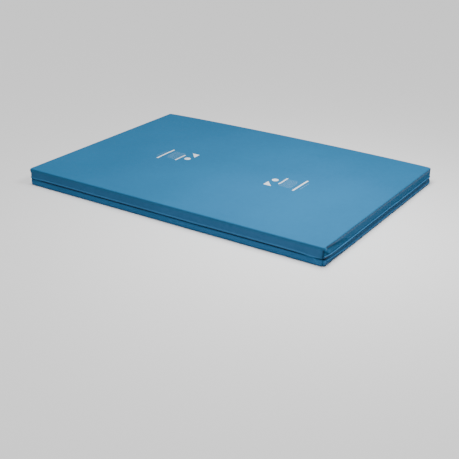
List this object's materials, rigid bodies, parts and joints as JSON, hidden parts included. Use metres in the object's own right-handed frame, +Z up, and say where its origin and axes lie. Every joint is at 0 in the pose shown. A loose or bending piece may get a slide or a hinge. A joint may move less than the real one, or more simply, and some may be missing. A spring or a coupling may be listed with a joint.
{
  "type": "pressure relief mattress",
  "caption": "Double-size pressure relief foam mattress in a zipped wipe-clean cover, with a skirt over the zip, an opening top and foam layers inside.",
  "frame": {"origin": "middle of the underside, the face that lies on the bed", "axes": "+X along the length towards the foot end, +Y across the width towards the left side of someone lying on their back, +Z up"},
  "size_m": [1.9, 1.35, 0.1042],
  "materials": {
    "top_cloth": "satin",
    "skirt_cloth": "satin",
    "hem_cloth": "satin",
    "border_cloth": "satin",
    "base_cloth": "matte",
    "zip_cloth": "matte",
    "zip_plastic": "satin",
    "zip_metal": "satin",
    "firm_foam": "matte",
    "glue": "satin",
    "soft_foam": "matte",
    "print_ink": "satin",
    "label_cloth": "matte"
  },
  "bodies": {
    "base": {"base_panel": "base_cloth", "base_border_right": "border_cloth", "base_border_left": "border_cloth", "base_border_head": "border_cloth", "base_border_foot": "border_cloth", "foam_base": "firm_foam", "foam_glue": "glue", "foam_top": "soft_foam", "care_label": "label_cloth", "zip_lower_tape": "zip_cloth", "zip_lower_teeth": "zip_plastic", "zip_end_stops": "zip_metal", "join_lower": "border_cloth"},
    "top_cover": {"top_panel": "top_cloth", "top_border_right": "border_cloth", "top_border_left": "border_cloth", "top_border_head": "border_cloth", "top_border_foot": "border_cloth", "zip_upper_tape": "zip_cloth", "zip_upper_teeth": "zip_plastic", "join_upper": "border_cloth", "mark_head": "print_ink", "mark_foot": "print_ink", "corner_head_right": "skirt_cloth", "corner_head_left": "skirt_cloth", "corner_foot_right": "skirt_cloth", "corner_foot_left": "skirt_cloth", "corner_hems": "hem_cloth", "skirt_left": "skirt_cloth", "hem_left": "hem_cloth"},
    "right_skirt": {"skirt_right": "skirt_cloth", "hem_right": "hem_cloth"},
    "head_skirt": {"skirt_head": "skirt_cloth", "hem_head": "hem_cloth"},
    "foot_skirt": {"skirt_foot": "skirt_cloth", "hem_foot": "hem_cloth"},
    "left_slider": {"slider_left": "zip_metal", "pin_left": "zip_metal"},
    "right_slider": {"slider_right": "zip_metal", "pin_right": "zip_metal"},
    "left_pull": {"pull_left": "zip_metal"},
    "right_pull": {"pull_right": "zip_metal"}
  },
  "joints": [
    {"name": "cover_open", "type": "hinge", "parent": "base", "child": "top_cover", "pos_m": [0, 0.6753, 0.043], "axis": [-1, 0, 0], "range_deg": [0, 105]},
    {"name": "right_skirt_lift", "type": "hinge", "parent": "top_cover", "child": "right_skirt", "pos_m": [0, -0.67425, 0.086], "axis": [-1, 0, 0], "range_deg": [0, 110]},
    {"name": "head_skirt_lift", "type": "hinge", "parent": "top_cover", "child": "head_skirt", "pos_m": [-0.94925, 0, 0.086], "axis": [0, 1, 0], "range_deg": [0, 110]},
    {"name": "foot_skirt_lift", "type": "hinge", "parent": "top_cover", "child": "foot_skirt", "pos_m": [0.94925, 0, 0.086], "axis": [0, -1, 0], "range_deg": [0, 110]},
    {"name": "left_slider_run", "type": "slide", "parent": "base", "child": "left_slider", "axis": [0, 1, 0], "range_m": [0, 0.61]},
    {"name": "right_slider_run", "type": "slide", "parent": "base", "child": "right_slider", "axis": [0, -1, 0], "range_m": [0, 0.61]},
    {"name": "left_pull_swing", "type": "hinge", "parent": "left_slider", "child": "left_pull", "pos_m": [-0.948, 0.0105, 0.0398], "axis": [0, 1, 0], "range_deg": [0, 90]},
    {"name": "right_pull_swing", "type": "hinge", "parent": "right_slider", "child": "right_pull", "pos_m": [-0.948, -0.0105, 0.0398], "axis": [0, 1, 0], "range_deg": [0, 90]}
  ]
}
